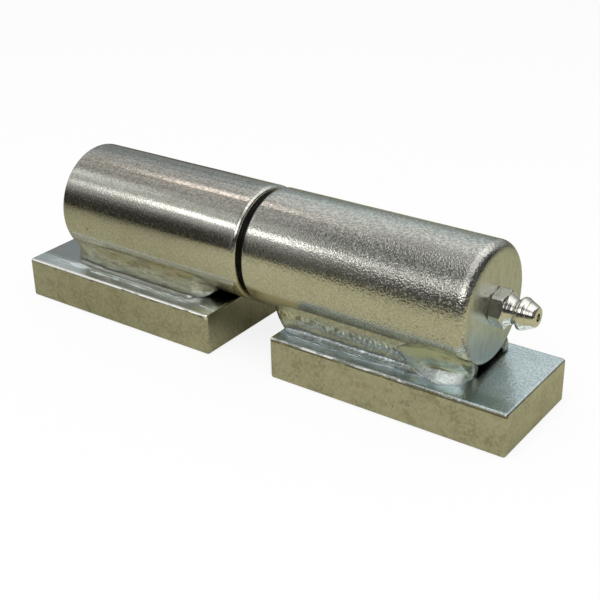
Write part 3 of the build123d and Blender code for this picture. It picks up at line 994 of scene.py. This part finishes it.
far_front = [
    upright(-52.9, (6.9, 1.5), (6.9, 1.2), (6.9, 0.9), (7.0, 0.6), (7.1, 0.3), (7.2, 0)),
    upright(-52.2, (8.3, 3.2), (8.4, 2.6), (8.4, 2.0), (8.4, 1.3), (8.5, 0.7), (8.7, 0)),
    upright(-50.5, (9.9, 4.8), (9.8, 3.9), (9.6, 3.0), (9.4, 1.9), (9.5, 0.8), (10.0, 0)),
    upright(-47, (10.6, 5.8), (10.4, 4.7), (10.2, 3.5), (9.9, 2.1), (9.9, 0.8), (10.5, 0)),
    upright(-40, (10.86, 6.2), (10.65, 5.0), (10.5, 3.7), (10.2, 2.1), (10.2, 0.7), (10.8, 0)),
    upright(-30, (11.1, 6.6), (10.85, 5.3), (10.65, 3.8), (10.3, 2.1), (10.4, 0.7), (11.1, 0)),
    upright(-22, (11.15, 6.8), (10.9, 5.4), (10.7, 3.8), (10.4, 2.1), (10.5, 0.7), (11.2, 0)),
    upright(-18, (11.1, 6.6), (10.9, 5.2), (10.6, 3.7), (10.2, 2.1), (10.2, 0.7), (10.7, 0)),
    upright(-15.8, (10.9, 6.3), (10.6, 5.0), (10.2, 3.7), (9.7, 2.3), (9.4, 1.0), (9.6, 0)),
    upright(-13.8, (10.5, 5.7), (10.1, 4.7), (9.4, 3.7), (8.7, 2.6), (8.2, 1.5), (8.0, 0.5)),
    upright(-12.4, (9.7, 4.6), (9.2, 4.0), (8.7, 3.4), (8.2, 2.8), (7.8, 2.2), (7.5, 1.6)),
    upright(-11.6, (8.1, 3.1), (7.9, 2.9), (7.7, 2.7), (7.5, 2.5), (7.3, 2.3), (7.1, 2.1)),
]
near_front = [
    upright(4.3, (7.6, 2.6), (7.5, 2.5), (7.4, 2.4), (7.3, 2.3), (7.25, 2.2), (7.2, 2.1)),
    upright(6.3, (9.4, 4.3), (9.35, 3.6), (9.25, 2.9), (9.1, 2.2), (8.95, 1.6), (8.8, 1.1)),
    upright(8.4, (10.1, 5.1), (10.15, 4.1), (10.1, 2.9), (10.0, 1.7), (9.95, 0.8), (10.1, 0)),
    upright(11, (10.35, 5.45), (10.35, 4.3), (10.25, 2.9), (10.25, 1.6), (10.6, 0.6), (11.4, 0)),
    upright(20, (10.35, 5.45), (10.35, 4.3), (10.2, 2.9), (10.2, 1.6), (10.6, 0.55), (11.6, 0)),
    upright(30, (10.35, 5.45), (10.35, 4.3), (10.15, 2.9), (10.1, 1.6), (10.45, 0.55), (11.4, 0)),
    upright(38, (10.35, 5.45), (10.3, 4.3), (10.1, 2.9), (10.0, 1.6), (10.3, 0.55), (11.2, 0)),
    upright(48, (10.2, 5.2), (10.1, 4.2), (10.0, 2.9), (9.9, 1.6), (10.1, 0.6), (10.6, 0)),
]
near_second = [
    [
        (36.1, 10.1, 4.4), (35.9, 10.25, 4.1), (35.8, 10.3, 3.7),
        (35.8, 10.3, 3.3), (35.9, 10.25, 2.9), (36.1, 10.2, 2.6),
    ],
    [
        (38.2, 10.4, 5.5), (38.0, 10.6, 4.7), (38.0, 10.7, 3.9),
        (38.0, 10.7, 3.0), (38.2, 10.6, 2.1), (38.4, 10.5, 1.1),
    ],
    upright(41.0, (10.9, 6.4), (11.15, 5.4), (11.2, 4.3), (11.15, 3.1), (11.05, 1.9), (11.1, 0.2)),
    upright(43.2, (11.2, 7.0), (11.45, 5.9), (11.4, 4.7), (11.15, 3.4), (10.95, 2.2), (11.9, 0)),
    upright(45.6, (11.3, 7.1), (11.5, 6.0), (11.4, 4.8), (11.1, 3.5), (10.9, 2.4), (12.5, 0)),
    upright(48.0, (11.1, 6.7), (11.3, 5.7), (11.15, 4.6), (10.85, 3.4), (10.6, 2.3), (11.9, 0)),
    [
        (49.6, 10.7, 5.8), (49.7, 10.8, 5.0), (49.8, 10.6, 4.1),
        (49.9, 10.3, 3.2), (49.9, 10.0, 2.2), (49.7, 10.8, 0),
    ],
    [
        (50.7, 9.7, 5.0), (50.9, 9.7, 4.3), (51.0, 9.6, 3.6),
        (51.1, 9.4, 2.8), (51.1, 9.1, 1.9), (50.6, 8.8, 0),
    ],
    [
        (51.2, 8.4, 3.9), (51.35, 8.3, 3.4), (51.4, 8.2, 2.9),
        (51.4, 8.0, 2.3), (51.4, 7.7, 1.6), (51.0, 7.4, 0.4),
    ],
]


print("sections:", len(far_front), "far,", len(near_front), "near and", len(near_second), "over it")

# %% [markdown]
# Behind the bars the plates end little more than 10 mm from the hinge's axis, so the rear beads
# are narrow. They keep one section nearly from end to end, and shrink only at their ends.

# %% Sections of the rear beads
rear_points = ((8.4, 3.3), (8.65, 2.7), (8.8, 2.1), (8.9, 1.4), (8.95, 0.7), (9.1, 0.0))
rear_fullness = (
    (0, 0.35), (0.02, 0.75), (0.08, 0.97), (0.5, 1.0), (0.92, 0.98), (0.98, 0.8), (1, 0.4)
)
rear_base = 7.0  # the distance from the axis that an end shrinks to


def rear_sections(start, end):
    """A narrow bead behind a barrel, held in by the plate's rear edge."""
    sections = []
    for share, fullness in rear_fullness:
        x = start + (end - start) * share
        sections.append([
            (x, rear_base + (d - rear_base) * fullness, h * fullness) for d, h in rear_points
        ])
    return sections


far_rear = rear_sections(bars_start - 0.6, inner_corner - 0.6)
near_rear = rear_sections(plate_box[0].x / mm + 0.6, bars_end - 0.5)
plate_rear = round(plate_box[1].y / mm - axis_y, 2)
print("rear beads end", rear_points[-1][0], "mm behind the axis, the plates", plate_rear, "mm")

# %% [markdown]
# Weld metal freezes puddle by puddle. Each puddle leaves a curved ripple, and the welder's hand adds
# slow lumps. That is a rule along a path, so Geometry Nodes make it: a tree moves each point of the
# smooth bead out or in along its normal. Its inputs say how far apart and how high the ripples are,
# in what band of the bead they run, and how large the lumps are.

# %% A tree that gives a smooth bead its ripples
def weld_tree():
    """Smooth bead in, rippled bead out. Sizes in mm, places across as shares of the bead's face."""
    tree = bpy.data.node_groups.new("weld ripples", "GeometryNodeTree")
    recipe = Recipe(tree)
    kinds = [("Geometry", "Geometry"), ("Material", "Material")]
    sizes = ["Spacing", "Ripple", "Bow", "Band Middle", "Band Reach", "Lump Size", "Lump", "Grit"]
    for name, kind in kinds + [(name, "Float") for name in sizes]:
        tree.interface.new_socket(name, in_out="INPUT", socket_type="NodeSocket" + kind)
    tree.interface.new_socket("Geometry", in_out="OUTPUT", socket_type="NodeSocketGeometry")
    given = {name: recipe.add("NodeGroupInput", output=name) for name in sizes}

    place = scaled(recipe.add("GeometryNodeInputPosition"), 1 / mm)
    across = recipe.add("GeometryNodeInputNamedAttribute", {"data_type": "FLOAT"}, {"Name": "across"})
    x = parts_of(place)[0]
    from_band = (across - given["Band Middle"]) / given["Band Reach"]
    wander = 1.1 * (patches(place, 2.6, 2.0) - 0.5)
    phase = (x + given["Bow"] * (from_band * from_band) + wander) / given["Spacing"]
    puddle = abs(phase.math("SINE", phase * math.pi))
    crest = fall(abs(from_band), 0.35, 1.0)
    sized = scaled(place, 1 / given["Lump Size"])
    lumps = recipe.add("ShaderNodeTexNoise", {}, {"Vector": sized, "Scale": 1.0, "Detail": 2.0})
    held = rise(across, 0.02, 0.12) * fall(across, 0.84, 0.98)
    out = given["Ripple"] * ((puddle - 0.5) * crest) + given["Lump"] * (lumps - 0.5)
    out = held * (out + given["Grit"] * (patches(place, 0.9, 2.0) - 0.5))
    push = scaled(recipe.add("GeometryNodeInputNormal"), out * mm)
    bead = recipe.add("NodeGroupInput", output="Geometry")
    bead = recipe.add("GeometryNodeSetPosition", {}, {"Geometry": bead, "Offset": push})
    bead = recipe.add("GeometryNodeSetShadeSmooth", {}, {0: bead})
    bead = recipe.add("GeometryNodeRealizeInstances", {}, {"Geometry": bead})
    finish = recipe.add("NodeGroupInput", output="Material")
    bead = recipe.add("GeometryNodeSetMaterial", {}, {"Geometry": bead, "Material": finish})
    recipe.add("NodeGroupOutput", {}, {"Geometry": bead})
    return tree


ripples = weld_tree()
print("tree", ripples.name, "with", len(ripples.nodes), "nodes")

# %% [markdown]
# A bead's modifier is set by its sockets' identifiers, because two sockets may share a name. Its
# result is then read back as a plain mesh, and the passes of one weld are joined in one piece.

# %% From passes to a bead
def weld_bead(name, node, body, passes, side=-1):
    """The passes of one weld, each given as sections and sizes, in place of a CAD weld."""
    joined = bmesh.new()
    for sections, sizes in passes:
        smooth = bead_body(name + "_pass", side, sections)
        made = smooth.modifiers.new("ripples", "NODES")
        made.node_group = ripples
        values = {"Material": zinc_weld, **sizes}
        for item in ripples.interface.items_tree:
            if item.in_out == "INPUT" and item.name in values:
                made[item.identifier] = values[item.name]
        evaluated = smooth.evaluated_get(bpy.context.evaluated_depsgraph_get())
        mesh = bpy.data.meshes.new_from_object(evaluated)
        joined.from_mesh(mesh)
        bpy.data.meshes.remove(mesh)
        bpy.data.objects.remove(smooth)
    bead = bpy.data.objects.new(name, bpy.data.meshes.new(name))
    joined.to_mesh(bead.data)
    joined.free()
    bead.data.materials.append(zinc_weld)
    bpy.context.scene.collection.objects.link(bead)
    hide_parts(node)
    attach(bead, body)
    print(name, len(bead.data.polygons), "faces")


print("a bead's passes are joined in the order in which they were laid")

# %% [markdown]
# The near front bead has even ripples, with a heavier, smoother pass over its end. The far one
# has few ripples but more lumps, and the rear ones are coarse, as welds that no one sees often are.

# %% The four beads
even = {
    "Spacing": 1.25, "Ripple": 0.13, "Bow": 0.5, "Band Middle": 0.38, "Band Reach": 0.17,
    "Lump Size": 3.4, "Lump": 0.35, "Grit": 0.08,
}
sparse = {
    **even, "Spacing": 4.2, "Ripple": 0.07, "Bow": 0.8, "Band Reach": 0.20,
    "Lump": 0.45, "Grit": 0.10,
}
heavy = {**even, "Spacing": 2.6, "Ripple": 0.03, "Band Middle": 0.5, "Lump": 0.16, "Grit": 0.05}
coarse = {**even, "Spacing": 1.9, "Ripple": 0.22, "Band Middle": 0.5, "Band Reach": 0.5}

weld_bead("pin_side_bead_front", "pin_side_weld_front", "pin_half", [(far_front, sparse)])
weld_bead("pin_side_bead_rear", "pin_side_weld_rear", "pin_half", [(far_rear, coarse)], side=1)
weld_bead(
    "bore_side_bead_front", "bore_side_weld_front", "bore_half",
    [(near_front, even), (near_second, heavy)],
)
weld_bead("bore_side_bead_rear", "bore_side_weld_rear", "bore_half", [(near_rear, coarse)], side=1)

# %% [markdown]
# ## Finishes on the CAD pieces that stay
#
# The plates are flat, so long triangles do no harm on them, and the pin, the washer and the ball
# are right as they are. They keep their CAD shape. Only the material in their slots changes, which
# leaves the mesh untouched.

# %% Each remaining CAD piece gets its finish
worn_by = {
    "pin_side_plate": zinc_plate,
    "bore_side_plate": zinc_plate,
    "hinge_pin": ground_steel,
    "thrust_washer": black_washer,
    "nipple_check_ball": ball_steel,
}
for name, material in worn_by.items():
    for slot in nodes[name].material_slots:
        slot.material = material
print(len(worn_by), "CAD pieces keep their shape")
